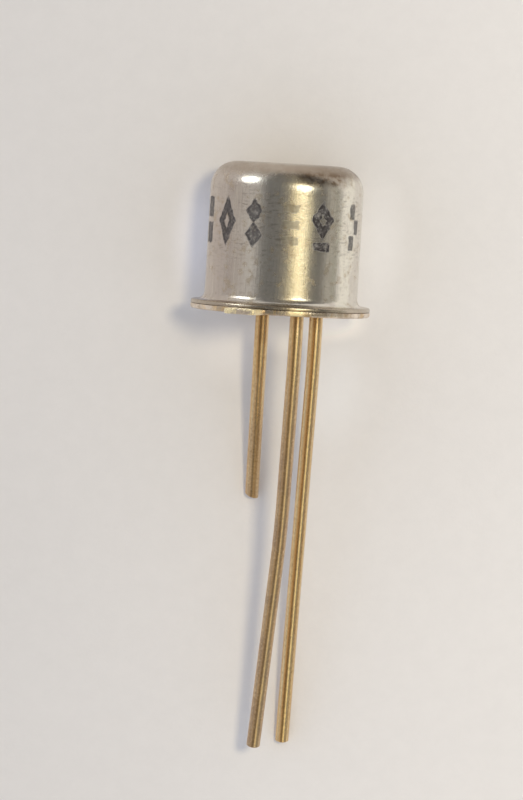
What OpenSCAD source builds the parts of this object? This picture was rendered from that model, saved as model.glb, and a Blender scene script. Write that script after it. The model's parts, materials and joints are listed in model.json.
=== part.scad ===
// Small-signal transistor in a round metal can, lying on its side as it comes to rest.
// Each piece is drawn upright: the seating plane is z = 0, the can rises towards +Z, the leads
// run down and the tab points along +X. as_it_lies() then lays the whole part on the table, z = 0.

/* [Can] */
// Outside diameter of the can's straight wall
can_d = 4.78; // [4.52:0.02:4.94]
// Height of the can's top over the seating plane
can_h = 4.65; // [4.3:0.05:5.3]
// Thickness of the drawn sheet
can_wall = 0.15; // [0.1:0.01:0.2]
// Outside radius of the rounded shoulder
shoulder_r = 0.82; // [0.4:0.02:0.9]
// Radius of the hollow corner where the wall meets the flange
flare_r = 0.26; // [0.16:0.02:0.3]
// Radius of the can's mouth, inside the same corner
mouth_r = 0.28; // [0.1:0.02:0.32]
// Thickness of the can's flange
can_flange_t = 0.13; // [0.1:0.01:0.2]

/* [Header] */
// Outside diameter of both flanges
flange_d = 5.6; // [5.46:0.02:5.84]
// Thickness of the header's flange and tab
header_flange_t = 0.17; // [0.12:0.01:0.2]
// Height of the header's platform over the seating plane
platform_h = 1.05; // [0.85:0.05:1.3]
// Thickness of the platform's plate
platform_t = 0.22; // [0.15:0.01:0.3]
// Thickness of the header's upright wall
eyelet_wall = 0.2; // [0.15:0.01:0.3]
// Radial gap between the header and the inside of the can
eyelet_gap = 0.1; // [0.05:0.01:0.2]
// Radius of the platform's rounded edge
platform_edge_r = 0.14; // [0.06:0.02:0.16]
// How far the tab stands out from the flange
tab_len = 0.9; // [0.72:0.02:1.2]
// Width of the tab
tab_w = 1.02; // [0.92:0.02:1.16]
// Radius of the tab's two outer corners
tab_corner_r = 0.12; // [0.05:0.01:0.3]

/* [Glass] */
// Diameter of the glass round each lead that passes the platform
bead_d = 0.94; // [0.8:0.02:1.1]
// Gap that stands for the fused joint between glass and metal
fused_gap = 0.01; // [0.005:0.005:0.02]
// How far the glass stops short of the seating plane
glass_recess = 0.12; // [0.05:0.01:0.25]

/* [Leads] */
// Diameter of a lead
lead_d = 0.43; // [0.41:0.01:0.48]
// Diameter of the circle that the leads stand on
lead_circle_d = 2.54; // [2.4:0.02:2.6]
// Angle from one lead to the next
lead_pitch_a = 90; // [84:1:96]
// Angle from the tab to the emitter lead
first_lead_a = 45; // [40:1:50]
// Height of the emitter and base posts over the platform
post_h = 0.4; // [0.2:0.05:0.6]
// Straight length of the emitter lead below the seating plane, before it bends towards the table
emitter_straight = 0.5; // [0.3:0.1:1]
// Radius of that bend
emitter_bend_r = 6; // [3:0.1:8]
// Turn of that bend
emitter_turn = 17; // [12:0.5:19]
// How far aside of the table that bend points
emitter_aim_a = 3; // [-6:0.1:6]
// Straight length from that bend to the slight sideways one
emitter_middle = 3.7; // [2:0.1:6]
// Radius of the slight sideways bend
emitter_side_bend_r = 50; // [20:1:80]
// Turn of the slight sideways bend
emitter_side_turn = 2.7; // [1:0.1:4]
// Straight length of the emitter lead from the sideways bend to its end
emitter_tail = 6.2; // [4:0.05:8]
// Straight length of the base lead below the seating plane, before it bends towards the table
base_straight = 0.5; // [0.3:0.1:1]
// Radius of that bend
base_bend_r = 6; // [3:0.1:8]
// How far aside of the table that bend points
base_aim_a = 3.9; // [-6:0.1:6]
// Straight length of the base lead from its bend to its end
base_tail = 12.25; // [9:0.05:14]
// Straight length of the collector lead below the seating plane, before it bends towards the table
collector_straight = 0.5; // [0.3:0.1:1]
// Radius of that bend
collector_bend_r = 4; // [3:0.1:6]
// How far aside of the table that bend points
collector_aim_a = 0; // [-6:0.1:6]
// Straight length of the collector lead from its bend to its snipped end
collector_tail = 4.2; // [3.5:0.05:6]
// Slant of the collector lead's snipped end
snip_a = 22; // [5:1:40]

/* [Chip] */
// Side of the silicon chip
chip_w = 0.46; // [0.3:0.02:0.6]
// Thickness of the silicon chip
chip_t = 0.16; // [0.1:0.01:0.25]
// Thickness of the solder preform under the chip
preform_t = 0.04; // [0.02:0.01:0.08]
// How far the preform shows round the chip
preform_margin = 0.05; // [0.02:0.01:0.1]
// Diameter of a bond wire
wire_d = 0.04; // [0.03:0.005:0.05]
// Diameter of the ball at each end of a bond wire
ball_d = 0.11; // [0.08:0.01:0.14]
// Height of that ball
ball_h = 0.04; // [0.03:0.01:0.06]
// Rise of a bond wire's loop over the straight line between its ends
loop_rise = 0.22; // [0.12:0.02:0.34]

/* [Rest] */
// Roll of the can from tab downwards, as it lies
roll_a = 110; // [100:1:120]

/* [Hidden] */

$fn = 96;
wire_fn = 32;
past = 1; // how far a cutting shape runs past what it cuts
lap = 0.05; // how far the wire after a bend reaches back into it
lap_step = 0.002; // how much thinner that wire is, so that the two fuse
can_r = can_d / 2;
can_in_r = can_r - can_wall;
can_z = header_flange_t; // the can's flange lies on the header's
can_flange_top = can_z + can_flange_t;
flange_r = flange_d / 2;

eyelet_r = can_in_r - eyelet_gap;
eyelet_in_r = eyelet_r - eyelet_wall;
eyelet_inner_edge_r = platform_edge_r / 2;
plate_z = platform_h - platform_t; // underside of the platform's plate

lead_r = lead_d / 2;
lead_at = lead_circle_d / 2;
emitter_a = first_lead_a;
base_a = first_lead_a + lead_pitch_a;
collector_a = first_lead_a + 2 * lead_pitch_a;
post_z = platform_h + post_h;

chip_z = platform_h + preform_t;
pad_z = chip_z + chip_t;
pad_at = chip_w / 4; // from the chip's centre to each bonding pad

// How the part lies: on the rim of the can's flange and the can's shoulder, with the can's top low,
// and on the ends of the base and collector leads, which bend down to the table.
down_a = roll_a + 90; // direction, in the upright frame, that ends up facing the table
rim_edge_r = can_flange_t / 2; // a flange's sheared edge is rounded over
rim_at = [flange_r - rim_edge_r, can_z + rim_edge_r];
shoulder_at = [can_r - shoulder_r, can_h - shoulder_r];
apart = rim_at - shoulder_at;
lean_a = atan2(-apart.y, apart.x) - acos((shoulder_r - rim_edge_r) / norm(apart));
lift = rim_at.x * cos(lean_a) - rim_at.y * sin(lean_a) + rim_edge_r;

// How far a lead stands below the can's axis, and the turn that brings its end down to the table.
function drop_of(a) = lead_at * cos(a - down_a);
function turn_to_table(a, straight, bend_r, tail, aim) =
    let (
        start_h = lift - drop_of(a) * cos(lean_a) - straight * sin(lean_a),
        swing = bend_r - lead_r,
        fall = cos(aim) * cos(lean_a),
        level = swing * fall - tail * sin(lean_a),
        plumb = tail * fall + swing * sin(lean_a)
    )
    acos((bend_r * fall - start_h) / norm([level, plumb])) - atan2(plumb, level);
base_turn = turn_to_table(base_a, base_straight, base_bend_r, base_tail, base_aim_a);
collector_turn = turn_to_table(
    collector_a, collector_straight, collector_bend_r, collector_tail, collector_aim_a
);

// The part's two ends, and the shift that brings the middle of its length over the origin.
top_y = shoulder_at.y * cos(lean_a) + shoulder_at.x * abs(sin(lean_a)) + shoulder_r;
tip_y = drop_of(base_a) * sin(lean_a) - base_straight * cos(lean_a)
    - base_bend_r * (sin(base_turn + lean_a) - sin(lean_a))
    - base_tail * cos(base_turn + lean_a) - lead_r * sin(base_turn + lean_a);
mid_y = -(top_y + tip_y) / 2;

gold = [0.80, 0.62, 0.28];
nickel = [0.66, 0.66, 0.62];
glass_tint = [0.20, 0.24, 0.22];
silicon = [0.32, 0.33, 0.37];

// Lays the upright part on the table.
module as_it_lies() {
    translate([0, mid_y, lift])
        rotate([lean_a - 90, 0, 0])
            rotate([0, 0, -roll_a])
                children();
}

// A flange's half section, with its sheared edge rounded over.
module flange_section(z, t) {
    translate([0, z]) square([flange_r - t / 2, t]);
    translate([flange_r - t / 2, z + t / 2]) circle(r = t / 2);
}

// A filled half section, [0, r] wide and up to height top, with its upper corner rounded.
module round_topped_section(r, bottom, top, corner_r) {
    translate([0, bottom]) square([r, top - corner_r - bottom]);
    translate([0, bottom]) square([r - corner_r, top - bottom]);
    translate([r - corner_r, top - corner_r]) circle(r = corner_r);
}

// The web that fills a hollow corner between a wall at radius r and a floor at height z.
module hollow_corner_section(r, z, corner_r) {
    difference() {
        translate([r - corner_r, z]) square([2 * corner_r, corner_r]);
        translate([r + corner_r, z + corner_r]) circle(r = corner_r);
    }
}

// What opens a mouth at radius r and height z, so that its edge is rounded over by corner_r.
module flared_mouth_section(r, z, corner_r) {
    difference() {
        translate([0, z - past]) square([r + corner_r, past + corner_r]);
        translate([r + corner_r, z + corner_r]) circle(r = corner_r);
    }
}

module can_section() {
    difference() {
        union() {
            round_topped_section(can_r, can_z, can_h, shoulder_r);
            flange_section(can_z, can_flange_t);
            hollow_corner_section(can_r, can_flange_top, flare_r);
        }
        round_topped_section(can_in_r, can_z - past, can_h - can_wall, shoulder_r - can_wall);
        flared_mouth_section(can_in_r, can_z, mouth_r);
    }
}

// A stamped cup with a flange, open below, where the glass goes in.
module eyelet_section() {
    difference() {
        union() {
            round_topped_section(eyelet_r, 0, platform_h, platform_edge_r);
            flange_section(0, header_flange_t);
            hollow_corner_section(eyelet_r, header_flange_t, eyelet_gap);
        }
        round_topped_section(eyelet_in_r, -past, plate_z, eyelet_inner_edge_r);
        flared_mouth_section(eyelet_in_r, 0, header_flange_t);
    }
}

module tab_outline() {
    reach = flange_r + tab_len;
    root = flange_r - header_flange_t / 2 - tab_w / 4; // well inside the flange
    translate([root, -tab_w / 2]) square([reach - tab_corner_r - root, tab_w]);
    translate([root, tab_corner_r - tab_w / 2]) square([reach - root, tab_w - 2 * tab_corner_r]);
    for (side = [-1, 1])
        translate([reach - tab_corner_r, side * (tab_w / 2 - tab_corner_r)])
            circle(r = tab_corner_r);
}

// Puts what follows on the lead circle, at an angle counted from the tab.
module at_lead(a) {
    rotate([0, 0, a]) translate([lead_at, 0, 0]) children();
}

// A wire that runs straight down from height top and then bends towards direction dir. What
// follows carries on from there. The bend's round section starts on the inner side.
module bent_wire(wire_r, top, straight, bend_r, turn, dir) {
    rotate([0, 0, dir]) translate([0, 0, -straight]) {
        cylinder(r = wire_r, h = straight + top, $fn = wire_fn);
        translate([bend_r, 0, 0]) rotate([90, 180, 0])
            rotate_extrude(angle = turn)
                translate([bend_r, 0]) rotate(180) circle(r = wire_r, $fn = wire_fn);
        translate([bend_r * (1 - cos(turn)), 0, -bend_r * sin(turn)])
            rotate([0, -turn, 0]) children();
    }
}

// The straight end of a wire, after its last bend.
module wire_end(wire_r, length) {
    translate([0, 0, -length]) cylinder(r = wire_r, h = length + lap, $fn = wire_fn);
}

// A fine wire looped from the pad on the chip to the top of a post, both on the radius at angle a.
module bond_wire(a) {
    ends = [[pad_at, pad_z], [lead_at, post_z]];
    run = ends[1] - ends[0];
    half_run = norm(run) / 2;
    loop_r = (half_run * half_run + loop_rise * loop_rise) / (2 * loop_rise);
    half_a = asin(half_run / loop_r);
    middle = (ends[0] + ends[1]) / 2;
    rotate([0, 0, a]) {
        for (end = ends)
            translate([end.x, 0, end.y]) cylinder(d = ball_d, h = ball_h, $fn = wire_fn);
        rotate([90, 0, 0])
            translate([middle.x, middle.y + ball_h / 2, 0])
                rotate([0, 0, atan2(run.y, run.x)])
                    translate([0, loop_rise - loop_r, 0])
                        rotate([0, 0, 90 - half_a])
                            rotate_extrude(angle = 2 * half_a)
                                translate([loop_r, 0]) circle(d = wire_d, $fn = wire_fn);
    }
}

module can() {
    color(nickel) as_it_lies() rotate_extrude() can_section();
}

module header_eyelet() {
    color(gold) as_it_lies() difference() {
        union() {
            rotate_extrude() eyelet_section();
            linear_extrude(header_flange_t) tab_outline();
        }
        for (a = [emitter_a, base_a])
            at_lead(a) translate([0, 0, plate_z - past]) cylinder(d = bead_d, h = platform_t + 2 * past);
    }
}

module glass_seal() {
    color(glass_tint) as_it_lies() difference() {
        union() {
            rotate_extrude()
                round_topped_section(
                    eyelet_in_r - fused_gap, glass_recess, plate_z - fused_gap, eyelet_inner_edge_r
                );
            for (a = [emitter_a, base_a])
                at_lead(a) translate([0, 0, glass_recess])
                    cylinder(r = bead_d / 2 - fused_gap, h = platform_h - glass_recess);
        }
        for (a = [emitter_a, base_a, collector_a])
            at_lead(a) translate([0, 0, -past])
                cylinder(r = lead_r + fused_gap, h = platform_h + 2 * past);
    }
}

module emitter_lead() {
    middle_r = lead_r - lap_step;
    color(gold) as_it_lies() at_lead(emitter_a)
        bent_wire(
            lead_r, post_z, emitter_straight, emitter_bend_r, emitter_turn,
            down_a + emitter_aim_a - emitter_a
        ) bent_wire(middle_r, lap, emitter_middle, emitter_side_bend_r, emitter_side_turn, 90)
            wire_end(middle_r - lap_step, emitter_tail);
}

module base_lead() {
    color(gold) as_it_lies() at_lead(base_a)
        bent_wire(
            lead_r, post_z, base_straight, base_bend_r, base_turn, down_a + base_aim_a - base_a
        ) wire_end(lead_r - lap_step, base_tail);
}

module collector_lead() {
    color(gold) as_it_lies() at_lead(collector_a)
        bent_wire(
            lead_r, plate_z, collector_straight, collector_bend_r, collector_turn,
            down_a + collector_aim_a - collector_a
        ) difference() {
            wire_end(lead_r - lap_step, collector_tail + lead_d);
            translate([0, 0, -collector_tail]) rotate([snip_a, 0, 0])
                translate([-past, -past, -2 * past]) cube(2 * past);
        }
}

module chip_preform() {
    side = chip_w + 2 * preform_margin;
    color(gold) as_it_lies()
        translate([-side / 2, -side / 2, platform_h]) cube([side, side, preform_t]);
}

module chip() {
    color(silicon) as_it_lies()
        translate([-chip_w / 2, -chip_w / 2, chip_z]) cube([chip_w, chip_w, chip_t]);
}

module emitter_bond_wire() {
    color(gold) as_it_lies() bond_wire(emitter_a);
}

module base_bond_wire() {
    color(gold) as_it_lies() bond_wire(base_a);
}

can();
header_eyelet();
glass_seal();
emitter_lead();
base_lead();
collector_lead();
chip();
chip_preform();
emitter_bond_wire();
base_bond_wire();
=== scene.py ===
import json
from math import ceil, cos, degrees, exp, radians, sin, tan, tau
import bmesh
import bpy
from mathutils import Matrix, Vector


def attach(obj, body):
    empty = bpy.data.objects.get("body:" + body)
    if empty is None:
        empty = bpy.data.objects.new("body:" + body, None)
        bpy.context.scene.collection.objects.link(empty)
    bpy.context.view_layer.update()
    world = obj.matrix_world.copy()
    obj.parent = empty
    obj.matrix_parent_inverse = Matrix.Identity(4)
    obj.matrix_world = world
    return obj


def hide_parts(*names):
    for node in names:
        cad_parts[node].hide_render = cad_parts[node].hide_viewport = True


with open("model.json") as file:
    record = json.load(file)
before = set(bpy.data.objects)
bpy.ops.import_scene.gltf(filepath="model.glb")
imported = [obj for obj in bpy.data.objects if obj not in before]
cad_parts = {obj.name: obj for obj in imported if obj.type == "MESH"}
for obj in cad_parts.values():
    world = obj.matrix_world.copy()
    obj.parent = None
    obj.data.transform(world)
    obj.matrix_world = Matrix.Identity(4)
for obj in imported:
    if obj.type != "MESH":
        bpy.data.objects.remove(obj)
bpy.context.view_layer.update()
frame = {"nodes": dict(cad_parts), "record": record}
print("frame loaded")

# how the part lies: pieces are drawn upright in millimetres, then laid down
mounts = {m["name"]: m for m in frame["record"]["mounts"]}
seat = Vector(mounts["lead_pattern"]["pos_m"])  # middle of the header's underside
upAxis = -Vector(mounts["lead_pattern"]["axis"]).normalized()  # towards the can's top
tabAxis = seat - Vector(mounts["seating_face"]["pos_m"])  # that mark sits opposite the tab
tabAxis = (tabAxis - upAxis * tabAxis.dot(upAxis)).normalized()
turnMatrix = Matrix((tabAxis, upAxis.cross(tabAxis), upAxis)).transposed()
uprightMatrix = turnMatrix.transposed()
mm = 0.001
nearly, mergeGap = 1e-4, 4e-4  # in millimetres
lying = Matrix.Translation(seat) @ turnMatrix.to_4x4() @ Matrix.Scale(mm, 4)
skyward = uprightMatrix @ Vector((0, 0, 1))
skyward = Vector((skyward.x, skyward.y, 0)).normalized()  # the side of the can that lies uppermost
rightward = Vector((-skyward.y, skyward.x, 0))  # along the can's wall from there, towards +X
leadCircle = 1.27  # how far the leads stand from the axis
leadAngles = {"emitter": 45, "base": 135, "collector": 225}  # round the axis, from the tab


def leadTurn(name):  # how far a lead's end is bent from straight down, in degrees
    return degrees((uprightMatrix @ Vector(mounts[name]["axis"])).angle(Vector((0, 0, -1))))


# helpers for node trees
def spoken(key):  # a socket's name, from camelCase
    return "".join(" " + c if c.isupper() else c for c in key).title()


def fill(tree, sockets, values):  # links sockets, or sets them
    for key, value in values.items():
        if isinstance(value, bpy.types.NodeSocket):
            tree.links.new(value, sockets[key])
        else:
            sockets[key].default_value = value


def place(tree, kind, inputs=None, **options):  # adds a node, sets its options and fills its inputs
    made = tree.nodes.new(kind)
    for option, value in options.items():
        setattr(made, option, value)
    fill(tree, made.inputs, inputs or {})
    return made


def first(tree, kind, inputs=None, **options):  # the same, and gives its first output
    return place(tree, kind, inputs, **options).outputs[0]


def maths(tree, operation, *values):
    return first(tree, "ShaderNodeMath", dict(enumerate(values)), operation=operation)


def plus(tree, a, b):
    return maths(tree, "ADD", a, b)


def minus(tree, a, b):
    return maths(tree, "SUBTRACT", a, b)


def times(tree, *values):
    total = values[0]
    for value in values[1:]:
        total = maths(tree, "MULTIPLY", total, value)
    return total


def joined(tree, *parts):
    return first(tree, "ShaderNodeCombineXYZ", dict(enumerate(parts)))


def split(tree, vector):
    return place(tree, "ShaderNodeSeparateXYZ", {0: vector}).outputs


def dot(tree, a, b):
    return place(tree, "ShaderNodeVectorMath", {0: a, 1: b}, operation="DOT_PRODUCT").outputs["Value"]


def lengthOf(tree, vector):
    return place(tree, "ShaderNodeVectorMath", {0: vector}, operation="LENGTH").outputs["Value"]


def mixColour(tree, factor, a, b, blend="MIX"):
    made = place(tree, "ShaderNodeMix", {0: factor, 6: a, 7: b}, data_type="RGBA", blend_type=blend)
    return made.outputs[2]


def tinted(tree, colour, stain, *masks):  # lays a stain over a colour where all the masks say
    return mixColour(tree, times(tree, *masks), colour, stain)


def layered(tree, colour, looks, *layers):  # the same for several: (the stain's name, its masks)
    for stain, *masks in layers:
        colour = tinted(tree, colour, looks[stain], *masks)
    return colour


def mixValue(tree, factor, a, b):
    return first(tree, "ShaderNodeMix", {0: factor, 2: a, 3: b}, data_type="FLOAT")


def smooth(tree, value, low, high, outLow=0.0, outHigh=1.0):
    return first(
        tree, "ShaderNodeMapRange", {0: value, 1: low, 2: high, 3: outLow, 4: outHigh},
        interpolation_type="SMOOTHSTEP",
    )


def within(tree, value, looks, *ends):  # where a value lies inside all the named ranges
    return times(tree, *(smooth(tree, value, *looks[end]) for end in ends))


def eased(tree, mask, low, high=1.0):  # a mask brought between two values
    return smooth(tree, mask, 0.0, 1.0, low, high)


def noise(tree, vector, scale, detail=3.0, rough=0.55, warp=0.0):
    return first(
        tree, "ShaderNodeTexNoise",
        {"Vector": vector, "Scale": scale, "Detail": detail, "Roughness": rough, "Distortion": warp},
    )


def ramp(tree, factor, stops):  # stops are (place, colour), in rising order
    made = place(tree, "ShaderNodeValToRGB", {0: factor})
    points = made.color_ramp.elements
    while len(points) < len(stops):
        points.new(1.0)
    for point, (at, colour) in zip(points, stops):
        point.position = at
        point.color = (*colour, 1)
    return made.outputs[0]


def newGroup(name, inputs, outputs, kind="ShaderNodeTree"):  # a number is its own socket's default
    group = bpy.data.node_groups.new(name, kind)
    for label, given in inputs.items():
        socket = {float: "NodeSocketFloat", int: "NodeSocketInt"}.get(type(given), given)
        made = group.interface.new_socket(name=label, in_out="INPUT", socket_type=socket)
        if socket != given:
            made.default_value = given
    for label, socket in outputs.items():
        group.interface.new_socket(name=label, in_out="OUTPUT", socket_type=socket)
    return group, group.nodes.new("NodeGroupInput").outputs, group.nodes.new("NodeGroupOutput").inputs


def useGroup(tree, group, **inputs):
    made = place(tree, "ShaderNodeGroup", node_tree=group)
    fill(tree, made.inputs, {spoken(key): value for key, value in inputs.items()})
    return made.outputs


# surface effects that several finishes share
floatSocket, vectorSocket, colourSocket = "NodeSocketFloat", "NodeSocketVector", "NodeSocketColor"
geometrySocket, materialSocket = "NodeSocketGeometry", "NodeSocketMaterial"


def makePatches():  # blotches with soft, ragged edges
    group, given, out = newGroup(
        "patches", {"Vector": vectorSocket, "Scale": 1.0, "Low": 0.45, "High": 0.65, "Warp": 0.6},
        {"Mask": floatSocket},
    )
    broad = noise(group, given["Vector"], given["Scale"], 6.0, 0.62, given["Warp"])
    group.links.new(smooth(group, broad, given["Low"], given["High"]), out["Mask"])
    return group


def makeDrawnLines():  # fine lines left by drawing the metal, along the vector's Z
    group, given, out = newGroup(
        "drawnLines", {"Vector": vectorSocket, "Across": 20.0, "Along": 0.6}, {"Lines": floatSocket},
    )
    parts = split(group, given["Vector"])
    amounts = (given["Across"], given["Across"], given["Along"])
    stretched = joined(group, *(times(group, part, amount) for part, amount in zip(parts, amounts)))
    coarse, fine = noise(group, stretched, 1.0, 2.0), noise(group, stretched, 3.1, 2.0)
    group.links.new(mixValue(group, 0.4, coarse, fine), out["Lines"])
    return group


def makeGrime():  # a stain that changes the colour, and where it lies
    group, given, out = newGroup(
        "grime",
        {"Vector": vectorSocket, "Clean": colourSocket, "Stain": colourSocket, "Scale": 1.0, "Amount": 0.5},
        {"Colour": colourSocket, "Mask": floatSocket},
    )
    wide = noise(group, given["Vector"], 1.0, 1.0)
    fine = noise(group, given["Vector"], given["Scale"], 8.0, 0.66, 0.8)
    blotches = plus(group, times(group, fine, 0.7), times(group, wide, 0.3))
    threshold = minus(group, 0.78, times(group, given["Amount"], 0.5))
    mask = smooth(group, blotches, minus(group, threshold, 0.09), plus(group, threshold, 0.07))
    group.links.new(mask, out["Mask"])
    group.links.new(mixColour(group, mask, given["Clean"], given["Stain"]), out["Colour"])
    return group


def makeSpecks():  # small pits and specks
    group, given, out = newGroup(
        "specks", {"Vector": vectorSocket, "Scale": 10.0, "Size": 0.2}, {"Mask": floatSocket},
    )
    cells = place(group, "ShaderNodeTexVoronoi", {"Vector": given["Vector"], "Scale": given["Scale"]})
    chosen = first(group, "ShaderNodeSeparateColor", {0: cells.outputs["Color"]})
    reach = times(group, given["Size"], chosen)
    group.links.new(smooth(group, cells.outputs["Distance"], reach, times(group, reach, 0.3)), out["Mask"])
    return group


def makeStampBox():  # how far a point is outside a rounded box, for printed marks
    group, given, out = newGroup(
        "stampBox", {"X": 0.0, "Y": 0.0, "Half Width": 0.2, "Half Height": 0.2, "Corner": 0.05},
        {"Distance": floatSocket},
    )
    over = []
    for axis, half in (("X", "Half Width"), ("Y", "Half Height")):
        inner = minus(group, given[half], given["Corner"])
        over.append(minus(group, maths(group, "ABSOLUTE", given[axis]), inner))
    outside = lengthOf(group, joined(group, *(maths(group, "MAXIMUM", part, 0.0) for part in over)))
    inside = maths(group, "MINIMUM", maths(group, "MAXIMUM", *over), 0.0)
    group.links.new(minus(group, plus(group, outside, inside), given["Corner"]), out["Distance"])
    return group


def makeStampLozenge():  # the same for a lozenge
    group, given, out = newGroup(
        "stampLozenge", {"X": 0.0, "Y": 0.0, "Half Width": 0.2, "Half Height": 0.4},
        {"Distance": floatSocket},
    )
    wide = times(group, maths(group, "ABSOLUTE", given["X"]), given["Half Height"])
    tall = times(group, maths(group, "ABSOLUTE", given["Y"]), given["Half Width"])
    area = times(group, given["Half Width"], given["Half Height"])
    side = lengthOf(group, joined(group, given["Half Width"], given["Half Height"]))
    over = minus(group, plus(group, wide, tall), area)
    group.links.new(maths(group, "DIVIDE", over, side), out["Distance"])
    return group


patches, drawnLines, grime, specks = makePatches(), makeDrawnLines(), makeGrime(), makeSpecks()
stampBox, stampLozenge = makeStampBox(), makeStampLozenge()


def pattern(tree, group, vector, **inputs):  # what a group gives first, on the points of the vector
    return useGroup(tree, group, vector=vector, **inputs)[0]


def blotches(tree, vector, scale, low, high, warp):
    return pattern(tree, patches, vector, scale=scale, low=low, high=high, warp=warp)


# finishes
def newFinish(name):
    finish = bpy.data.materials.new(name)
    finish.use_nodes = True
    tree = finish.node_tree
    tree.nodes.clear()
    shader = place(tree, "ShaderNodeBsdfPrincipled")
    place(tree, "ShaderNodeOutputMaterial", {"Surface": shader.outputs[0]})
    return finish, tree, shader.inputs


def uprightSpace(tree):  # the point in millimetres, in the upright part's own frame
    point = place(tree, "ShaderNodeTexCoord").outputs["Object"]
    return first(
        tree, "ShaderNodeMapping",
        {"Vector": point, "Location": seat, "Rotation": turnMatrix.to_euler(), "Scale": (mm, mm, mm)},
        vector_type="TEXTURE",
    )


def roundTheAxis(tree, space):  # height, distance from the axis, angle from the uppermost line, way right
    toSky, toRight = dot(tree, space, skyward), dot(tree, space, rightward)
    radius = lengthOf(tree, joined(tree, toSky, toRight))
    return split(tree, space)[2], radius, maths(tree, "ARCTAN2", toRight, toSky), toRight


def feed(tree, sockets, **values):  # fills the shader's sockets, named in camelCase
    fill(tree, sockets, {spoken(key): value for key, value in values.items()})


def bumped(tree, *layers):  # a normal with relief: (height, depth in millimetres, strength)
    normal = None
    for height, depth, strength in layers:
        inputs = {"Height": height, "Distance": depth * mm, "Strength": strength}
        if normal is not None:
            inputs["Normal"] = normal
        normal = first(tree, "ShaderNodeBump", inputs)
    return normal


canSizes = {
    "radius": 2.39, "height": 4.65, "sheet": 0.15, "shoulder": 0.82, "flare": 0.26, "mouth": 0.28,
    "flangeRadius": 2.8, "flange": 0.13, "seam": 0.022, "base": 0.17, "segments": 224,
    "dentDepth": 0.016, "dentSize": 1.3,
}
# a pair says where a stain, a painted shade or a painted sheen starts and where it is full: as a height, as
# a distance from the axis (Out), or as a share of the can's radius to the right (Side)
canLooks = {
    "nickel": (0.80, 0.765, 0.70, 1), "paintedShade": (0.60, 0.53, 0.48, 1), "clean": (0.94, 0.92, 0.82, 1),
    "rose": (0.56, 0.49, 0.43, 1), "cream": (0.90, 0.87, 0.77, 1), "soot": (0.30, 0.26, 0.21, 1),
    "amber": (0.46, 0.35, 0.20, 1), "brown": (0.30, 0.22, 0.14, 1), "dirt": (0.20, 0.14, 0.09, 1),
    "film": (0.46, 0.385, 0.31, 1), "deepFilm": (0.34, 0.27, 0.205, 1), "rim": (0.50, 0.43, 0.34, 1),
    # the first Side pair paints shade on the left flank, the next two paint a pale sheen towards the right
    "paintedShadeSide": (-0.30, -0.80), "paintedSheenSide": (0.70, 0.755), "paintedSheenSideEnd": (0.92, 0.84),
    "scuffs": (1.4, 2.2), "scuffsEnd": (4.1, 3.6), "dots": (2.6, 2.0),
    "filmHeight": (4.14, 4.46), "filmOut": (0.5, 1.5), "deepFilmSide": (0.0, 0.6),
    # the shoulder's dark band on the right is part dirt, part a painted dark reflection
    "shoulderDarkening": (3.94, 4.14), "shoulderDarkeningEnd": (4.54, 4.36), "shoulderDarkeningSide": (0.04, 0.24),
    "shoulderDarkeningSideEnd": (0.84, 0.6),
    "rimOut": (2.50, 2.64), "rimLine": (0.262, 0.285), "rimLineSide": (0.6, 0.0),
    "weldGap": (0.026, 0.008), "weldOut": (2.60, 2.70),
    "ink": (0.026, 0.020, 0.021, 1), "markHeight": 2.8, "inkStroke": 0.12, "inkWear": 0.16,
    # these are patches, as (scale, low, high, warp)
    "clouds": (1.1, 0.40, 0.68, 0.4), "mottle": (5.0, 0.42, 0.62, 0.2), "handled": (0.9, 0.40, 0.60, 0.8),
    "stains": (3.4, 0.52, 0.66, 0.2), "rubbed": (1.3, 0.36, 0.66, 0.2), "inkCover": (4.5, 0.30, 0.50, 0.4),
}
# generic stamped marks round the wall: (angle from the uppermost line, strength, shapes)
# a shape is (kind, across, up, half width, half height, a box's corner), in mm from the mark's middle
stampedMarks = [
    (-75, 0.90, [("box", 0, 0.39, 0.26, 0.32, 0.05), ("box", 0, -0.39, 0.26, 0.32, 0.05)]),
    (-49, 0.95, [("outline", 0, 0, 0.38, 0.78)]),
    (-24, 0.95, [("lozenge", 0, 0.36, 0.29, 0.40), ("lozenge", 0, -0.36, 0.29, 0.40)]),
    (4, 0.42, [("box", 0, 0.50, 0.26, 0.12, 0.03), ("box", 0, 0, 0.26, 0.12, 0.03),
               ("box", 0, -0.50, 0.26, 0.12, 0.03)]),
    (29, 1.0, [("outline", 0, 0.18, 0.40, 0.60), ("box", 0, -0.64, 0.29, 0.13, 0.03)]),
    (63, 0.85, [("box", -0.14, 0.48, 0.13, 0.22, 0.03), ("box", 0.14, 0, 0.13, 0.22, 0.03),
                ("box", -0.14, -0.48, 0.13, 0.22, 0.03)]),
]


def markDistance(tree, shape, arc, height, middle):  # how far a point is outside one printed shape
    kind, across, up, halfWidth, halfHeight, *corner = shape
    inputs = {
        "x": minus(tree, arc, middle + across), "y": minus(tree, height, canLooks["markHeight"] + up),
        "halfWidth": halfWidth, "halfHeight": halfHeight,
    }
    if kind == "box":
        return useGroup(tree, stampBox, corner=corner[0], **inputs)["Distance"]
    distance = useGroup(tree, stampLozenge, **inputs)["Distance"]
    if kind == "outline":
        middled = plus(tree, distance, canLooks["inkStroke"])
        distance = minus(tree, maths(tree, "ABSOLUTE", middled), canLooks["inkStroke"])
    return distance


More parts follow.
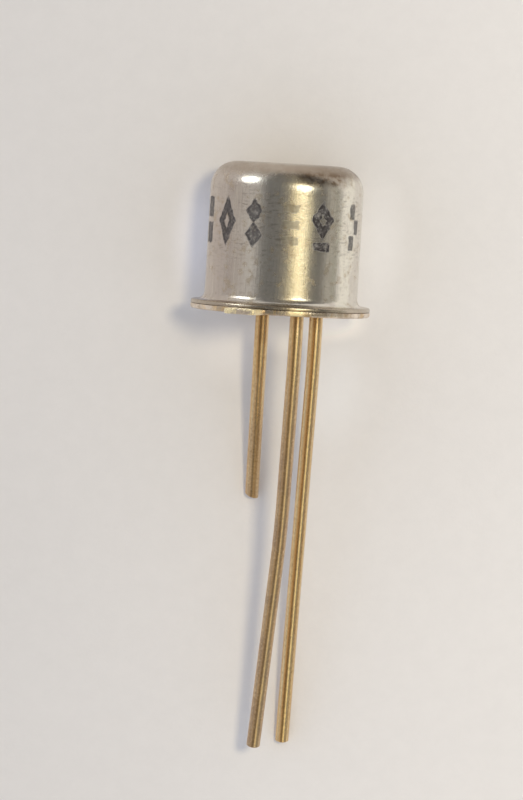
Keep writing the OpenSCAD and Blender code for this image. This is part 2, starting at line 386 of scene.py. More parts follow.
def inkMask(tree, space, arc, height):
    worn = times(tree, minus(tree, noise(tree, space, 5.0), 0.5), canLooks["inkWear"])
    total = 0.0
    for angle, strength, shapes in stampedMarks:
        nearest = 1.0
        for shape in shapes:
            distance = markDistance(tree, shape, arc, height, radians(angle) * canSizes["radius"])
            nearest = maths(tree, "MINIMUM", nearest, distance)
        ragged = plus(tree, nearest, worn)
        edge = smooth(tree, ragged, -0.13, -0.03, 0.93 * strength, strength)  # ink gathers at its edges
        total = maths(tree, "MAXIMUM", total, times(tree, smooth(tree, ragged, 0.03, -0.02), edge))
    cover = blotches(tree, space, *canLooks["inkCover"])
    grains = smooth(tree, noise(tree, space, 15.0, 3.0, 0.6), 0.34, 0.48)
    return times(tree, total, eased(tree, cover, 0.75), eased(tree, grains, 0.70))


def weldDirt(tree, height, radius):  # the dark line where the two flanges meet
    gap = maths(tree, "ABSOLUTE", minus(tree, height, canSizes["base"]))
    out = within(tree, radius, canLooks, "weldOut")
    return times(tree, within(tree, gap, canLooks, "weldGap"), out, 0.55)


def makeNickel():
    looks = canLooks
    finish, tree, shader = newFinish("drawnNickel")
    space = uprightSpace(tree)
    height, radius, angle, toRight = roundTheAxis(tree, space)
    arc = times(tree, angle, canSizes["radius"])
    lines = pattern(tree, drawnLines, space, across=7.0, along=0.35)
    fineLines = pattern(tree, drawnLines, space, across=24.0, along=0.9)
    kinds = ("clouds", "mottle", "handled", "stains", "rubbed")
    clouds, mottle, handled, stains, rubbed = (blotches(tree, space, *looks[kind]) for kind in kinds)
    around = joined(tree, times(tree, arc, 2.2), times(tree, height, 9.0))
    scuffs = smooth(tree, noise(tree, around, 1.5, 6.0, 0.72), 0.50, 0.62)  # these run round the wall
    dots = pattern(tree, specks, space, scale=3.6, size=0.20)
    waver = times(tree, minus(tree, noise(tree, space, 1.2), 0.5), 0.3)
    side = plus(tree, maths(tree, "DIVIDE", toRight, canSizes["radius"]), waver)
    midway = times(tree, *(smooth(tree, height, *looks[end], 0.35, 1.0) for end in ("scuffs", "scuffsEnd")))
    colour = layered(
        tree, looks["nickel"], looks,
        # painted shade on the left flank, and the clean tone towards the right is a painted sheen
        ("paintedShade", within(tree, side, looks, "paintedShadeSide")),
        ("clean", within(tree, side, looks, "paintedSheenSide", "paintedSheenSideEnd"), 0.9),
        ("rose", clouds, 0.24),
        ("rose", mottle, 0.14),
        ("cream", smooth(tree, lines, 0.45, 0.70), 0.35),
        ("soot", smooth(tree, fineLines, 0.50, 0.68), 0.22),
        ("soot", scuffs, midway, eased(tree, handled, 0.25), 0.58),
        ("amber", stains, 0.40),
        ("brown", dots, smooth(tree, height, *looks["dots"], 0.3, 1.0), 0.6),
    )
    film = times(tree, within(tree, height, looks, "filmHeight"), eased(tree, rubbed, 0.80),
                 smooth(tree, radius, *looks["filmOut"], 0.45, 1))
    filmColour = tinted(tree, looks["film"], looks["deepFilm"], within(tree, side, looks, "deepFilmSide"))
    # a dark band on the shoulder's right side: part dirt, part a painted dark reflection
    shoulderDarkening = times(tree, within(tree, height, looks, "shoulderDarkening", "shoulderDarkeningEnd"),
                   within(tree, side, looks, "shoulderDarkeningSide", "shoulderDarkeningSideEnd"))
    rim = within(tree, radius, looks, "rimOut")
    rimLine = times(tree, within(tree, height, looks, "rimLine"),
                    smooth(tree, side, *looks["rimLineSide"], 0.5, 1.0))
    ink = inkMask(tree, space, arc, height)
    colour = layered(
        tree, tinted(tree, colour, filmColour, film), looks,
        ("dirt", shoulderDarkening, eased(tree, mottle, 0.6), 0.9),
        ("rim", rim, 0.75),
        ("brown", rim, rimLine, 0.8),
        ("dirt", weldDirt(tree, height, radius)),
        ("ink", ink),
    )
    rough = 0.16
    for mask, amount in ((clouds, 0.05), (stains, 0.10), (fineLines, 0.06), (film, 0.10)):
        rough = plus(tree, rough, times(tree, mask, amount))
    relief = bumped(
        tree, (lines, 0.003, 0.7), (fineLines, 0.0016, 0.8), (mottle, 0.0014, 0.6),
        (times(tree, scuffs, -1.0), 0.0005, 0.7),
    )
    feed(tree, shader, baseColor=colour, roughness=mixValue(tree, ink, rough, 0.55),
         metallic=smooth(tree, ink, 0.45, 0.80, 1.0, 0.08), normal=relief)
    return finish


goldLooks = {
    "gold": (0.93, 0.65, 0.30, 1), "pale": (1.0, 0.83, 0.53, 1), "brown": (0.31, 0.18, 0.075, 1),
    "dull": (0.50, 0.37, 0.25, 1), "copper": (0.56, 0.32, 0.15, 1), "umber": (0.13, 0.075, 0.03, 1),
    "rich": (0.80, 0.47, 0.17, 1), "paintedHighlight": (1.0, 0.85, 0.62, 1),
    # painted shade and painted highlight: a richer, darker stripe and a pale one, set by the way the
    # surface faces
    "paintedValleyWay": (-0.26, 0, 0.966), "paintedHighlightWay": (0.27, 0, 0.963),  # which way these two stripes face
    "wearStart": (2.0, 6.0), "rootEnd": (2.1, 1.6),  # along a lead, from its end in the header
    "flange": (0.90, 0.80, 0.69, 1), "flangeStain": (0.60, 0.50, 0.39, 1), "tab": (1.0, 0.86, 0.54, 1),
    # a painted glint: a pale strip round the flange's rim where it faces the bright band
    "paintedGlintFrom": (0.06, 0.13), "paintedGlintTo": (0.30, 0.22),  # round the flange, in radians
    "tabOut": (2.84, 3.2), "tabOutside": (3.0, 2.9), "underHeight": (0.034, 0.012), "underOut": (2.5, 2.7),
    # these are patches, as (scale, low, high, warp)
    "cloud": (0.8, 0.40, 0.60, 0.3), "bright": (2.2, 0.50, 0.62, 0.9), "deep": (6.0, 0.54, 0.70, 0.9),
}


def makeLeadGold():
    looks = goldLooks
    finish, tree, shader = newFinish("leadGold")
    space = uprightSpace(tree)
    wire = place(tree, "ShaderNodeAttribute", attribute_name="wireSpace").outputs["Vector"]
    wear = place(tree, "ShaderNodeAttribute", attribute_name="wear").outputs["Fac"]
    run = split(tree, wire)[2]
    lines = pattern(tree, drawnLines, wire, across=2.0, along=0.16)
    fineLines = pattern(tree, drawnLines, wire, across=6.0, along=0.7)
    grain = noise(tree, space, 13.0, 4.0, 0.6)
    cloud = blotches(tree, space, *looks["cloud"])
    worn = times(tree, wear, smooth(tree, run, *looks["wearStart"], 0.25, 1.0), eased(tree, cloud, 0.78))
    streak = smooth(tree, pattern(tree, drawnLines, wire, across=1.4, along=0.10), 0.42, 0.60)
    facing = place(tree, "ShaderNodeNewGeometry").outputs["Normal"]
    # painted shade left of the top of each lead and a painted highlight right of it
    rich = smooth(tree, dot(tree, facing, looks["paintedValleyWay"]), 0.92, 0.985, 0.0, 0.8)
    paintedHighlight = smooth(tree, dot(tree, facing, looks["paintedHighlightWay"]), 0.94, 0.99, 0.0, 0.5)
    pits = pattern(tree, specks, space, scale=7.0, size=0.16)
    colour = layered(
        tree, looks["gold"], looks,
        ("pale", smooth(tree, lines, 0.40, 0.62)),
        ("dull", worn),
        ("copper", streak, 0.35),
        ("brown", smooth(tree, fineLines, 0.50, 0.70), 0.22),
        ("brown", smooth(tree, grain, 0.52, 0.66, 0.0, 0.36)),
        ("pale", smooth(tree, grain, 0.46, 0.34, 0.0, 0.34)),
        ("rich", rich, eased(tree, worn, 1.0, 0.35)),
        ("paintedHighlight", paintedHighlight),
        ("copper", within(tree, run, looks, "rootEnd"), streak, 0.5),
        ("umber", pits, 0.4),
    )
    relief = bumped(tree, (lines, 0.004, 0.7), (grain, 0.009, 0.7), (times(tree, pits, -1.0), 0.006, 0.8))
    feed(tree, shader, baseColor=colour, roughness=plus(tree, 0.24, times(tree, worn, 0.08)), metallic=1.0,
         normal=relief)
    return finish


def makeHeaderGold():
    looks = goldLooks
    finish, tree, shader = newFinish("headerGold")
    space = uprightSpace(tree)
    height, radius, angle, _ = roundTheAxis(tree, space)
    spots = useGroup(
        tree, grime, vector=space, clean=looks["flange"], stain=looks["flangeStain"], scale=3.0,
        amount=0.50,
    )
    bright, deep = blotches(tree, space, *looks["bright"]), blotches(tree, space, *looks["deep"])
    tab = within(tree, radius, looks, "tabOut")  # the tab kept its plating
    # the rim's strip facing the bright band takes the tab's pale colour and weaker metal: a painted glint
    tabAndGlint = maths(tree, "MAXIMUM", tab, within(tree, angle, looks, "paintedGlintFrom", "paintedGlintTo"))
    under = times(tree, within(tree, height, looks, "underHeight"), within(tree, radius, looks, "underOut"))
    seam = times(tree, weldDirt(tree, height, radius), within(tree, radius, looks, "tabOutside"))
    colour = layered(
        tree, spots["Colour"], looks,
        ("gold", bright, 0.5),
        ("brown", deep, 0.45),
        ("tab", tabAndGlint),
        ("flangeStain", tab, bright),
        ("brown", under, eased(tree, tab, 1.0, 0.0), 0.65),
    )
    colour = tinted(tree, colour, canLooks["dirt"], seam)
    ripples = times(tree, noise(tree, space, 4.5, 3.0, 0.6), tab)
    relief = bumped(tree, (noise(tree, space, 9.0, 5.0, 0.6), 0.012, 0.7), (ripples, 0.035, 0.8))
    feed(tree, shader, baseColor=colour, roughness=plus(tree, 0.20, times(tree, spots["Mask"], 0.16)),
         metallic=eased(tree, tabAndGlint, 1.0, 0.60), normal=relief)
    return finish


def makeSealGlass():
    finish, tree, shader = newFinish("sealGlass")
    space = uprightSpace(tree)
    cloudy = blotches(tree, space, 1.6, 0.35, 0.75, 1.0)
    bubbles = pattern(tree, specks, space, scale=5.0, size=0.22)
    colour = mixColour(tree, cloudy, (0.012, 0.022, 0.019, 1), (0.035, 0.055, 0.047, 1))
    colour = tinted(tree, colour, (0.10, 0.13, 0.12, 1), bubbles, 0.5)
    relief = bumped(tree, (noise(tree, space, 2.0, 2.0), 0.03, 0.5), (bubbles, 0.02, 0.6))
    rough = plus(tree, 0.06, times(tree, cloudy, 0.08))
    feed(tree, shader, baseColor=colour, roughness=rough, normal=relief)
    shader["IOR"].default_value = 1.55
    shader["Coat Weight"].default_value = 0.5
    shader["Coat Roughness"].default_value = 0.05
    return finish


chipLooks = {
    "padOut": 0.115, "padHalf": 0.07, "padCorner": 0.02, "pad": (0.82, 0.82, 0.80, 1),
    "tints": [(0.3, (0.10, 0.11, 0.15)), (0.5, (0.16, 0.15, 0.21)), (0.7, (0.12, 0.17, 0.19))],
}


def makeSilicon():
    looks = chipLooks
    finish, tree, shader = newFinish("siliconChip")
    space = uprightSpace(tree)
    x, y, _ = split(tree, space)
    pads = 0.0  # two bare metal pads on the diffused face, each towards its own lead
    for name in ("emitter", "base"):
        spot = radians(leadAngles[name])
        distance = useGroup(
            tree, stampBox, x=minus(tree, x, looks["padOut"] * cos(spot)),
            y=minus(tree, y, looks["padOut"] * sin(spot)), halfWidth=looks["padHalf"],
            halfHeight=looks["padHalf"], corner=looks["padCorner"],
        )["Distance"]
        pads = maths(tree, "MAXIMUM", pads, smooth(tree, distance, 0.004, -0.004))
    colour = tinted(tree, ramp(tree, noise(tree, space, 4.0, 2.0), looks["tints"]), looks["pad"], pads)
    relief = bumped(tree, (noise(tree, space, 30.0, 3.0), 0.004, 0.4))
    feed(tree, shader, baseColor=colour, metallic=mixValue(tree, pads, 0.35, 1.0),
         roughness=mixValue(tree, pads, 0.12, 0.3), normal=relief)
    return finish


def makePlainGold(name, clean, stain, grainScale):
    finish, tree, shader = newFinish(name)
    space = uprightSpace(tree)
    spots = useGroup(tree, grime, vector=space, clean=clean, stain=stain, scale=grainScale, amount=0.45)
    relief = bumped(tree, (noise(tree, space, grainScale * 4, 3.0), 0.004, 0.5))
    feed(tree, shader, baseColor=spots["Colour"], metallic=1.0,
         roughness=plus(tree, 0.22, times(tree, spots["Mask"], 0.2)), normal=relief)
    return finish


nickel, leadGold, headerGold = makeNickel(), makeLeadGold(), makeHeaderGold()
sealGlass, siliconChip = makeSealGlass(), makeSilicon()
preformGold = makePlainGold("preformGold", (0.80, 0.62, 0.30, 1), (0.50, 0.40, 0.28, 1), 8.0)
wireGold = makePlainGold("wireGold", (0.90, 0.66, 0.26, 1), (0.72, 0.50, 0.20, 1), 20.0)
print("finishes made")


# geometry trees
def turnedPoints(tree, profile, segments):  # a grid of the profile's points, turned round the upright axis
    count = place(tree, "GeometryNodeAttributeDomainSize", {0: profile}).outputs["Point Count"]
    grid = place(tree, "GeometryNodeMeshGrid", {"Vertices X": plus(tree, segments, 1), "Vertices Y": count})
    index = first(tree, "GeometryNodeInputIndex")
    step = maths(tree, "FLOOR", maths(tree, "DIVIDE", plus(tree, index, 0.5), count))
    row = minus(tree, index, times(tree, step, count))
    here = first(tree, "GeometryNodeInputPosition")
    point = first(
        tree, "GeometryNodeSampleIndex", {"Geometry": profile, "Value": here, "Index": row},
        data_type="FLOAT_VECTOR", domain="POINT",
    )
    angle = times(tree, maths(tree, "DIVIDE", step, segments), tau)
    turned = first(
        tree, "ShaderNodeVectorRotate", {"Vector": point, "Angle": angle}, rotation_type="Z_AXIS",
    )
    mapped = first(
        tree, "GeometryNodeStoreNamedAttribute",
        {"Geometry": grid.outputs["Mesh"], "Name": "UVMap", "Value": grid.outputs["UV Map"]},
        data_type="FLOAT2", domain="CORNER",
    )
    shell = first(tree, "GeometryNodeSetPosition", {0: mapped, "Position": turned})
    return first(tree, "GeometryNodeMergeByDistance", {0: shell, "Distance": mergeGap})


def uneven(tree, surface, given, depth, size, detail):  # pushes a surface in and out a little
    field = first(tree, "ShaderNodeTexNoise", {
        "W": given["Seed"], "Scale": maths(tree, "DIVIDE", 1.0, given[size]), "Detail": detail,
    }, noise_dimensions="4D")
    push = times(tree, minus(tree, field, 0.5), given[depth])
    normal = first(tree, "GeometryNodeInputNormal")
    offset = first(tree, "ShaderNodeVectorMath", {0: normal, "Scale": push}, operation="SCALE")
    return first(tree, "GeometryNodeSetPosition", {0: surface, "Offset": offset})


def finished(tree, surface, finish, out):  # the end of both trees
    smoothed = first(tree, "GeometryNodeSetShadeSmooth", {0: surface})
    real = first(tree, "GeometryNodeRealizeInstances", {0: smoothed})
    done = first(tree, "GeometryNodeSetMaterial", {0: real, "Material": finish})
    tree.links.new(done, out["Geometry"])
    return tree


def turnedShellTree():  # turns the profile that the object holds into a shell
    tree, given, out = newGroup(
        "turnedShell",
        {"Geometry": geometrySocket, "Segments": 192, "Dent Depth": 0.0, "Dent Size": 1.0, "Seed": 0.0,
         "Finish": materialSocket},
        {"Geometry": geometrySocket}, "GeometryNodeTree",
    )
    shell = turnedPoints(tree, given["Geometry"], given["Segments"])
    dented = uneven(tree, shell, given, "Dent Depth", "Dent Size", 2.0)
    return finished(tree, dented, given["Finish"], out)


def captured(tree, geometry, name, kind, value):  # keeps a value of a curve for the swept surface
    kept = place(tree, "GeometryNodeCaptureAttribute", {"Geometry": geometry})
    kept.capture_items.new(kind, name)
    tree.links.new(value, kept.inputs[name])
    return kept.outputs


def stored(tree, surface, name, kind, value):  # names a value for the finishes
    return first(
        tree, "GeometryNodeStoreNamedAttribute", {"Geometry": surface, "Name": name, "Value": value},
        data_type=kind, domain="POINT",
    )


def drawnWireTree():  # sweeps a round section along the path that the object holds
    tree, given, out = newGroup(
        "drawnWire",
        {"Geometry": geometrySocket, "Radius": 0.215, "Sides": 32, "Flaw Depth": 0.0, "Flaw Size": 0.4,
         "Seed": 0.0, "Wear": 0.5, "Finish": materialSocket},
        {"Geometry": geometrySocket}, "GeometryNodeTree",
    )
    path = first(tree, "GeometryNodeMeshToCurve", {0: given["Geometry"]})
    run = place(tree, "GeometryNodeSplineParameter").outputs["Length"]
    along = captured(tree, path, "Run", "FLOAT", run)
    ring = place(
        tree, "GeometryNodeCurvePrimitiveCircle", {"Resolution": given["Sides"], "Radius": given["Radius"]},
    ).outputs["Curve"]
    here = first(tree, "GeometryNodeInputPosition")
    unit = first(tree, "ShaderNodeVectorMath", {0: here}, operation="NORMALIZE")
    section = captured(tree, ring, "Around", "VECTOR", unit)
    girth = first(tree, "GeometryNodeInputNamedAttribute", {"Name": "girth"}, data_type="FLOAT")
    swept = first(tree, "GeometryNodeCurveToMesh", {
        "Curve": along["Geometry"], "Profile Curve": section["Geometry"], "Scale": girth, "Fill Caps": True,
    })
    about = split(tree, section["Around"])
    wireSpace = joined(tree, about[0], about[1], along["Run"])
    swept = stored(tree, swept, "wireSpace", "FLOAT_VECTOR", wireSpace)
    swept = stored(tree, swept, "wear", "FLOAT", given["Wear"])
    flawed = uneven(tree, swept, given, "Flaw Depth", "Flaw Size", 3.0)
    return finished(tree, flawed, given["Finish"], out)


turnedShell, drawnWire = turnedShellTree(), drawnWireTree()


def linked(name, mesh):  # a new object in the scene, at the origin
    made = bpy.data.objects.new(name, mesh)
    bpy.context.scene.collection.objects.link(made)
    return made


def lineObject(name, points, girths=None):  # a polyline as an object of its own
    mesh = bpy.data.meshes.new(name)
    mesh.from_pydata([tuple(p) for p in points], [(i, i + 1) for i in range(len(points) - 1)], [])
    if girths is not None:
        mesh.attributes.new("girth", "FLOAT", "POINT").data.foreach_set("value", girths)
    return linked(name, mesh)


def meshObject(name, bm):
    mesh = bpy.data.meshes.new(name)
    bm.to_mesh(mesh)
    bm.free()
    return linked(name, mesh)


def evaluated(obj):  # the object as a plain mesh, its modifiers used up
    bpy.context.view_layer.update()
    graph = bpy.context.evaluated_depsgraph_get()
    mesh = bpy.data.meshes.new_from_object(obj.evaluated_get(graph))
    old = obj.data
    obj.modifiers.clear()
    obj.data = mesh
    bpy.data.meshes.remove(old)
    return obj


def throughTree(obj, tree, **inputs):
    modifier = obj.modifiers.new(tree.name, "NODES")
    modifier.node_group = tree
    keys = {item.name: item.identifier for item in tree.interface.items_tree if item.in_out == "INPUT"}
    for key, value in inputs.items():
        modifier[keys[spoken(key)]] = value
    return evaluated(obj)


def turnedShellOf(name, points, sizes, seed, finish):
    return throughTree(
        lineObject(name, points), turnedShell, segments=sizes["segments"], dentDepth=sizes["dentDepth"],
        dentSize=sizes["dentSize"], seed=seed, finish=finish,
    )


def combine(obj, other, operation):
    modifier = obj.modifiers.new("join", "BOOLEAN")
    modifier.operation, modifier.solver, modifier.object = operation, "EXACT", other
    evaluated(obj)
    bpy.data.objects.remove(other)


def shadeByAngle(obj, limit=38):
    mesh = obj.data
    mesh.polygons.foreach_set("use_smooth", [True] * len(mesh.polygons))
    bm = bmesh.new()
    bm.from_mesh(mesh)
    for edge in bm.edges:
        if len(edge.link_faces) == 2:
            edge.smooth = edge.calc_face_angle(0) < radians(limit)
    bm.to_mesh(mesh)
    bm.free()


def oneFinish(obj, finish):
    obj.data.materials.clear()
    obj.data.materials.append(finish)
    obj.data.polygons.foreach_set("material_index", [0] * len(obj.data.polygons))


def lay(obj, node):  # lays an upright piece down and hands it to the frame
    obj.data.transform(lying)
    obj.data.update()
    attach(obj, "root")
    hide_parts(node)


# profiles: points (outwards, 0, up) in the order of a walk along the wall
def arcPoints(centreX, centreZ, radius, start, end, steps):
    angles = [radians(start + (end - start) * i / steps) for i in range(steps + 1)]
    return [(centreX + radius * cos(a), 0.0, centreZ + radius * sin(a)) for a in angles]


def linePoints(start, end, steps):  # without its ends
    a, b = Vector((start[0], 0, start[1])), Vector((end[0], 0, end[1]))
    return [tuple(a.lerp(b, i / steps)) for i in range(1, steps)]


# the can
def makeCan():
    s = canSizes
    inner, edge = s["radius"] - s["sheet"], s["flange"] / 2
    top, low = s["height"], s["base"]
    flangeTop = low + s["flange"]
    shoulderX, shoulderZ = s["radius"] - s["shoulder"], top - s["shoulder"]
    points = [(0, 0, top - s["sheet"])]
    points += linePoints((0, top - s["sheet"]), (shoulderX, top - s["sheet"]), 5)
    points += arcPoints(shoulderX, shoulderZ, s["shoulder"] - s["sheet"], 90, 0, 8)
    points += linePoints((inner, shoulderZ), (inner, low + s["mouth"]), 6)
    points += arcPoints(inner + s["mouth"], low + s["mouth"], s["mouth"], 180, 270, 8)
    points += arcPoints(s["flangeRadius"] - s["seam"], low + s["seam"], s["seam"], -90, 0, 5)
    points += arcPoints(s["flangeRadius"] - edge, flangeTop - edge, edge, 0, 90, 6)
    points += arcPoints(s["radius"] + s["flare"], flangeTop + s["flare"], s["flare"], 270, 180, 12)
    points += linePoints((s["radius"], flangeTop + s["flare"]), (s["radius"], shoulderZ), 30)
    points += arcPoints(shoulderX, shoulderZ, s["shoulder"], 0, 90, 20)
    points += linePoints((shoulderX, top), (0, top), 14) + [(0, 0, top)]
    can = turnedShellOf("can_shell", points, s, 3.0, nickel)
    lay(can, "can")


makeCan()
print("can made")

# the header: flange, tab, wall and platform
headerSizes = {
    "flangeRadius": 2.8, "flange": 0.17, "seam": 0.025, "wall": 0.2, "outer": 2.14, "height": 1.05,
    "plate": 0.22, "corner": 0.14, "gap": 0.1, "tabReach": 3.7, "tabWidth": 1.02, "tabCorner": 0.12,
    "tabRoot": 2.45, "tabBevel": 0.03, "tabSlack": 0.002, "bead": 0.47, "cutPast": 0.1,
    "segments": 192, "dentDepth": 0.008, "dentSize": 0.8,
}


def onCircle(name):
    angle = radians(leadAngles[name])
    return Vector((leadCircle * cos(angle), leadCircle * sin(angle), 0))


def roundBar(radius, low, high, centre):  # closed, for joining or cutting
    bm = bmesh.new()
    bmesh.ops.create_cone(
        bm, cap_ends=True, segments=48, radius1=radius, radius2=radius, depth=high - low,
        matrix=Matrix.Translation(centre + Vector((0, 0, (low + high) / 2))),
    )
    return meshObject("bar", bm)


def makeTab():
    s = headerSizes
    half, end, corner = s["tabWidth"] / 2, s["tabReach"] - s["tabCorner"], s["tabCorner"]
    outline = [(s["tabRoot"], -half)]
    for side, start in ((-1, -90), (1, 0)):
        turns = arcPoints(end, side * (half - corner), corner, start, start + 90, 8)
        outline += [(x, y) for x, _, y in turns]
    outline.append((s["tabRoot"], half))
    bm = bmesh.new()
    face = bm.faces.new([bm.verts.new((x, y, s["tabSlack"])) for x, y in outline])
    lifted = bmesh.ops.extrude_face_region(bm, geom=[face])["geom"]
    up = Vector((0, 0, s["flange"] - 2 * s["tabSlack"]))
    bmesh.ops.translate(bm, vec=up, verts=[v for v in lifted if isinstance(v, bmesh.types.BMVert)])
    bmesh.ops.recalc_face_normals(bm, faces=bm.faces)
    rims = [e for e in bm.edges if abs(e.verts[0].co.z - e.verts[1].co.z) < nearly]
    bmesh.ops.bevel(bm, geom=rims, offset=s["tabBevel"], segments=3, affect="EDGES", profile=0.5)
    return meshObject("tab", bm)


def makeHeader():
    s = headerSizes
    inner, plateZ, edge = s["outer"] - s["wall"], s["height"] - s["plate"], s["flange"] / 2
    innerCorner = s["corner"] / 2
    points = [(0, 0, plateZ)] + linePoints((0, plateZ), (inner - innerCorner, plateZ), 6)
    points += arcPoints(inner - innerCorner, plateZ - innerCorner, innerCorner, 90, 0, 6)
    points += arcPoints(inner + s["flange"], s["flange"], s["flange"], 180, 270, 8)
    points += linePoints((inner + s["flange"], 0), (s["flangeRadius"] - edge, 0), 4)
    points += arcPoints(s["flangeRadius"] - edge, edge, edge, -90, 0, 6)
    points += arcPoints(s["flangeRadius"] - s["seam"], s["flange"] - s["seam"], s["seam"], 0, 90, 5)
    points += arcPoints(s["outer"] + s["gap"], s["flange"] + s["gap"], s["gap"], 270, 180, 6)
    points += arcPoints(s["outer"] - s["corner"], s["height"] - s["corner"], s["corner"], 0, 90, 6)
    points += linePoints((s["outer"] - s["corner"], s["height"]), (0, s["height"]), 6)
    points.append((0, 0, s["height"]))
    header = turnedShellOf("header_shell", points, s, 8.0, headerGold)
    combine(header, makeTab(), "UNION")
    for name in ("emitter", "base"):
        hole = roundBar(s["bead"], plateZ - s["cutPast"], s["height"] + s["cutPast"], onCircle(name))
        combine(header, hole, "DIFFERENCE")
    oneFinish(header, headerGold)
    shadeByAngle(header)
    lay(header, "header_eyelet")


makeHeader()
print("header made")

# the glass, drawn up a little where it wets the metal
glassSizes = {
    "radius": 1.93, "low": 0.12, "high": 0.82, "corner": 0.07, "bead": 0.46, "beadHigh": 1.05,
    "beadSunk": 0.05, "climb": 0.075, "climbWidth": 0.09, "leadRadius": 0.215, "rings": 46,
    "segments": 240, "dentDepth": 0.0, "dentSize": 1.0,
}


def climbed(point):  # how far the free face has climbed the rim and the leads there
    s = glassSizes
    flat = Vector((point.x, point.y, 0))
    gaps = [max((flat - onCircle(n)).length - s["leadRadius"], 0) for n in leadAngles]
    gaps.append(max(s["radius"] - flat.length, 0))
    return min(s["climb"], s["climb"] * sum(exp(-gap / s["climbWidth"]) for gap in gaps))


def makeGlass():
    s = glassSizes
    points = [(0, 0, s["low"])] + linePoints((0, s["low"]), (s["radius"], s["low"]), s["rings"])
    points += [(s["radius"], 0, s["low"])]
    points += linePoints((s["radius"], s["low"]), (s["radius"], s["high"]), 3)
    points += arcPoints(s["radius"] - s["corner"], s["high"] - s["corner"], s["corner"], 0, 90, 5)
    points += linePoints((s["radius"] - s["corner"], s["high"]), (0, s["high"]), 4) + [(0, 0, s["high"])]
    glass = turnedShellOf("seal_glass", points[::-1], s, 1.0, sealGlass)  # backwards, so it faces out
    for vertex in glass.data.vertices:
        if vertex.co.z < s["low"] + nearly:
            vertex.co.z -= climbed(vertex.co)
    for name in ("emitter", "base"):
        bead = roundBar(s["bead"], s["high"] - s["beadSunk"], s["beadHigh"], onCircle(name))
        combine(glass, bead, "UNION")
    oneFinish(glass, sealGlass)
    shadeByAngle(glass, 50)
    lay(glass, "glass_seal")


makeGlass()
print("glass made")

# the leads
leadSizes = {
    "radius": 0.214, "sides": 36, "chamfer": 0.03, "chamferGirth": 0.84, "pitch": 0.12,
    "flawDepth": 0.010, "flawSize": 0.5,
    "emitter": {"top": 1.45, "straight": 0.5, "bend": 6, "turn": 17, "aim": 3, "middle": 3.7,
                "sideBend": 50, "sideTurn": 2.7, "tail": 6.2, "wear": 1.0, "seed": 2.0},
    "base": {"top": 1.45, "straight": 0.5, "bend": 6, "aim": 3.9, "tail": 12.25, "wear": 0.30, "seed": 5.0},
    "collector": {"top": 0.83, "straight": 0.5, "bend": 4, "aim": 0, "tail": 4.2, "snip": 22, "wear": 0.70,
                  "seed": 9.0},
}


def wirePath(start, stretches, pitch):  # a path of straights (length,) and bends (radius, turn, towards)
    points, heading = [start], Vector((0, 0, -1))
    for stretch in stretches:
        if len(stretch) == 1:
            steps = max(1, round(stretch[0] / pitch))
            origin = points[-1]
            points += [origin + heading * stretch[0] * i / steps for i in range(1, steps + 1)]
            continue
        radius, turn, towards = stretch
        towards = (towards - heading * towards.dot(heading)).normalized()
        centre, before = points[-1] + towards * radius, heading.copy()
        steps = max(3, ceil(radians(turn) * radius / pitch))
        for i in range(1, steps + 1):
            a = radians(turn) * i / steps
            points.append(centre - towards * radius * cos(a) + before * radius * sin(a))
        heading = (before * cos(radians(turn)) + towards * sin(radians(turn))).normalized()
    return points, heading


def trimmed(points, chamfer, girth):  # the path with a small chamfer at both ends, and its girths
    for end in (0, -1):
        inward = points[1] if end == 0 else points[-2]
        inner = points[end] + (inward - points[end]).normalized() * chamfer
        points.insert(1 if end == 0 else len(points) - 1, inner)
    return points, [girth] + [1.0] * (len(points) - 2) + [girth]


def pinch(lead, tip, heading, side, reach):  # snipped: drawn back to a slanted edge
    for vertex in lead.data.vertices:
        over = (vertex.co - tip).dot(heading) + 2 * reach
        if over > 0:
            offset = (vertex.co - tip).dot(side)
            vertex.co -= heading * over * 0.5 * (1 - offset / leadSizes["radius"])


def makeLead(name):
    s, own = leadSizes, leadSizes[name]
    tableward = Matrix.Rotation(radians(own["aim"]), 3, "Z") @ -skyward
    turn = own.get("turn") or leadTurn(name + "_lead_end")
    stretches = [(own["top"] + own["straight"],), (own["bend"], turn, tableward)]
    if "middle" in own:
        sideways = Vector((0, 0, 1)).cross(tableward)
        stretches += [(own["middle"],), (own["sideBend"], own["sideTurn"], sideways)]
    reach = s["radius"] * tan(radians(own["snip"])) if "snip" in own else 0
    stretches.append((own["tail"] + reach,))
    start = onCircle(name) + Vector((0, 0, own["top"]))
    points, heading = wirePath(start, stretches, s["pitch"])
    points, girths = trimmed(points, s["chamfer"], s["chamferGirth"])
    tip = points[-1].copy()
    lead = throughTree(
        lineObject(name + "_wire", points, girths), drawnWire, radius=s["radius"], sides=s["sides"],
        flawDepth=s["flawDepth"], flawSize=s["flawSize"], seed=own["seed"], wear=own["wear"],
        finish=leadGold,
    )
    if reach:
        pinch(lead, tip, heading, heading.cross(tableward).normalized(), reach)
    shadeByAngle(lead)
    lay(lead, name + "_lead")


for leadName in leadAngles:
    makeLead(leadName)
print("leads made")

# pieces sealed inside that stay as they are: the chip, its preform and the bond wires
keptFinishes = {
    "chip": siliconChip, "chip_preform": preformGold, "emitter_bond_wire": wireGold,
    "base_bond_wire": wireGold,
}
for nodeName, finish in keptFinishes.items():
    oneFinish(frame["nodes"][nodeName], finish)

# paper, light and camera
cameraLooks = {"distance": 155.0, "lens": 223.0, "raise": 3.2, "roll": 3.45, "aim": (-0.405, -2.768)}
raised, roll = radians(cameraLooks["raise"]), radians(cameraLooks["roll"])
toEye = (turnMatrix @ (skyward * cos(raised) + Vector((0, 0, sin(raised))))).normalized()  # to the camera
axisInView = (upAxis - toEye * upAxis.dot(toEye)).normalized()
rightOfAxis = (-toEye).cross(axisInView)
viewRight = rightOfAxis * cos(roll) + axisInView * sin(roll)
viewUp = axisInView * cos(roll) - rightOfAxis * sin(roll)


